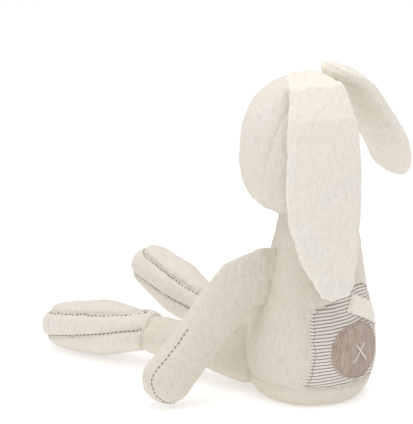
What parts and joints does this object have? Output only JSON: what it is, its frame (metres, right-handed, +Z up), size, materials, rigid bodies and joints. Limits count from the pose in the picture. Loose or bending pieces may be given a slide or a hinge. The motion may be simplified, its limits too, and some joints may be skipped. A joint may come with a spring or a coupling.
{
  "type": "stuffed bunny rabbit",
  "caption": "Sitting long-limbed plush rabbit with an egg-shaped head, two long flopped ears, boat-shaped feet, a striped cotton back panel and a felt disc tail",
  "frame": {"origin": "centre of the flat seat, on the floor", "axes": "+Z up, -Y the way the rabbit faces, +X its left side"},
  "size_m": [0.3154, 0.347, 0.3106],
  "materials": {
    "plush": "matte",
    "pale_plush": "matte",
    "ear_lining": "matte",
    "base_cloth": "matte",
    "ticking": "matte",
    "felt": "matte",
    "tape": "matte",
    "pale_thread": "matte",
    "dark_thread": "matte",
    "nose_thread": "satin",
    "fill": "matte",
    "pouch_cloth": "matte",
    "eye_plastic": "gloss",
    "washer_plastic": "matte"
  },
  "bodies": {
    "torso": {"left_body_panel": "plush", "right_body_panel": "plush", "base_panel": "base_cloth", "striped_back_panel": "ticking", "bean_bag": "pouch_cloth", "torso_stuffing": "fill", "back_panel_topstitch": "pale_thread", "tail_disc": "felt", "tail_cross_stitch_a": "pale_thread", "tail_cross_stitch_b": "pale_thread", "label_tape": "tape"},
    "neck": {"neck_stuffing": "plush"},
    "head": {"face_panel": "pale_plush", "left_head_panel": "pale_plush", "right_head_panel": "pale_plush", "head_stuffing": "fill", "left_eye": "eye_plastic", "left_eye_washer": "washer_plastic", "right_eye": "eye_plastic", "right_eye_washer": "washer_plastic", "nose": "nose_thread", "mouth_stitch": "dark_thread"},
    "left_ear": {"left_ear_back": "pale_plush", "left_ear_lining": "ear_lining", "left_ear_padding": "fill"},
    "left_arm": {"left_arm_outer_panel": "plush", "left_arm_inner_panel": "plush", "left_arm_stuffing": "fill", "left_arm_topstitch": "dark_thread"},
    "left_leg": {"left_leg_top_panel": "plush", "left_leg_under_panel": "plush", "left_leg_stuffing": "fill"},
    "left_foot": {"left_foot_instep": "pale_plush", "left_foot_gusset": "plush", "left_foot_sole": "plush", "left_foot_stuffing": "fill", "left_foot_upper_topstitch": "dark_thread", "left_foot_lower_topstitch": "dark_thread"},
    "right_ear": {"right_ear_back": "pale_plush", "right_ear_lining": "ear_lining", "right_ear_padding": "fill"},
    "right_arm": {"right_arm_outer_panel": "plush", "right_arm_inner_panel": "plush", "right_arm_stuffing": "fill", "right_arm_topstitch": "dark_thread"},
    "right_leg": {"right_leg_top_panel": "plush", "right_leg_under_panel": "plush", "right_leg_stuffing": "fill"},
    "right_foot": {"right_foot_instep": "pale_plush", "right_foot_gusset": "plush", "right_foot_sole": "plush", "right_foot_stuffing": "fill", "right_foot_upper_topstitch": "dark_thread", "right_foot_lower_topstitch": "dark_thread"}
  },
  "joints": [
    {"name": "head_turn", "type": "hinge", "parent": "torso", "child": "neck", "pos_m": [0, 0.006, 0.16415], "axis": [0, 0, 1], "range_deg": [-30, 30]},
    {"name": "head_nod", "type": "hinge", "parent": "neck", "child": "head", "pos_m": [0, -0.014, 0.2], "axis": [1, 0, 0], "range_deg": [-3, 12]},
    {"name": "left_ear_lift", "type": "hinge", "parent": "head", "child": "left_ear", "pos_m": [0.019, -0.001, 0.305], "axis": [0.841, -0.541, 0], "range_deg": [0, 80]},
    {"name": "right_ear_lift", "type": "hinge", "parent": "head", "child": "right_ear", "pos_m": [-0.024, 0.009, 0.304], "axis": [-0.2, 0.9798, 0], "range_deg": [-12, 40]},
    {"name": "left_arm_swing", "type": "hinge", "parent": "torso", "child": "left_arm", "pos_m": [0.049, -0.021, 0.119], "axis": [0, 0, 1], "range_deg": [-12, 26]},
    {"name": "right_arm_swing", "type": "hinge", "parent": "torso", "child": "right_arm", "pos_m": [-0.049, -0.021, 0.119], "axis": [0, 0, -1], "range_deg": [-12, 26]},
    {"name": "left_hip_raise", "type": "hinge", "parent": "torso", "child": "left_leg", "pos_m": [0.03, -0.05, 0.024], "axis": [-0.9936, -0.1132, 0], "range_deg": [-18, 18]},
    {"name": "left_ankle_bend", "type": "hinge", "parent": "left_leg", "child": "left_foot", "pos_m": [0.04177, -0.15333, 0.033], "axis": [-0.9936, -0.1132, 0], "range_deg": [-18, 18]},
    {"name": "right_hip_raise", "type": "hinge", "parent": "torso", "child": "right_leg", "pos_m": [-0.03, -0.05, 0.024], "axis": [-0.9744, 0.225, 0], "range_deg": [-18, 18]},
    {"name": "right_ankle_bend", "type": "hinge", "parent": "right_leg", "child": "right_foot", "pos_m": [-0.05339, -0.15133, 0.028], "axis": [-0.9744, 0.225, 0], "range_deg": [-18, 18]}
  ]
}
